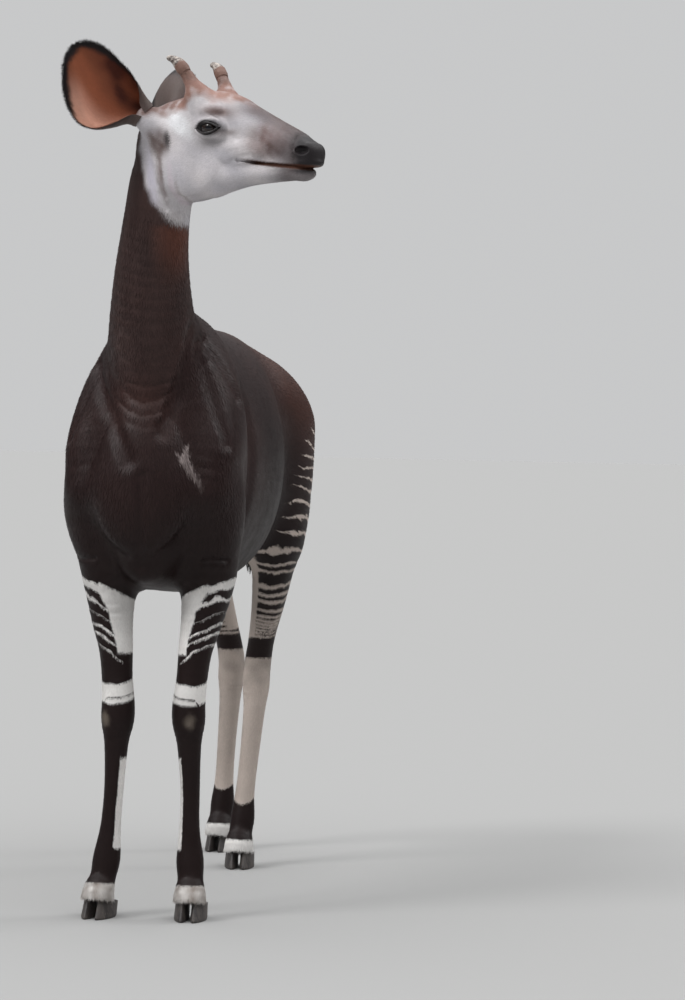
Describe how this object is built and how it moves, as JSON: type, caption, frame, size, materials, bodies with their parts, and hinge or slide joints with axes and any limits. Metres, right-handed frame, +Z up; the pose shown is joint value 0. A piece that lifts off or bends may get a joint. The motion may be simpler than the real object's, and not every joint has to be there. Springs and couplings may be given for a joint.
{
  "type": "okapi",
  "caption": "Standing okapi, life size and still, head raised and turned to its left, with large cupped ears and short bony horns.",
  "frame": {"origin": "on the floor under the middle of the animal's box", "axes": "+Z up; the animal faces -Y and its left side is +X"},
  "size_m": [0.7361, 1.7606, 2.1748],
  "materials": {
    "coat": "very dark brown short coat with a soft sheen",
    "stocking": "short coat, cream to white with black bands",
    "face": "very short coat, pale grey with brown forehead",
    "ear": "short brown coat with a black fringe",
    "eye": "wet, very dark brown",
    "horn": "thin skin with short brown hair",
    "bone": "bare worn bone",
    "hoof": "grey-brown horn, lightly scuffed"
  },
  "bodies": {
    "root": {"torso": "coat", "neck": "coat", "head": "face", "ear_left": "ear", "eye_left": "eye", "ossicone_left": "horn", "ossicone_tip_left": "bone", "ear_right": "ear", "eye_right": "eye", "ossicone_right": "horn", "ossicone_tip_right": "bone", "tail": "coat", "tail_tuft": "coat", "foreleg_left_forearm": "coat", "foreleg_left_cannon": "stocking", "foreleg_left_pastern": "stocking", "foreleg_left_claw_outer": "hoof", "foreleg_left_claw_inner": "hoof", "foreleg_right_forearm": "coat", "foreleg_right_cannon": "stocking", "foreleg_right_pastern": "stocking", "foreleg_right_claw_outer": "hoof", "foreleg_right_claw_inner": "hoof", "hindleg_left_thigh": "coat", "hindleg_left_cannon": "stocking", "hindleg_left_pastern": "stocking", "hindleg_left_claw_outer": "hoof", "hindleg_left_claw_inner": "hoof", "hindleg_right_thigh": "coat", "hindleg_right_cannon": "stocking", "hindleg_right_pastern": "stocking", "hindleg_right_claw_outer": "hoof", "hindleg_right_claw_inner": "hoof"}
  },
  "joints": []
}
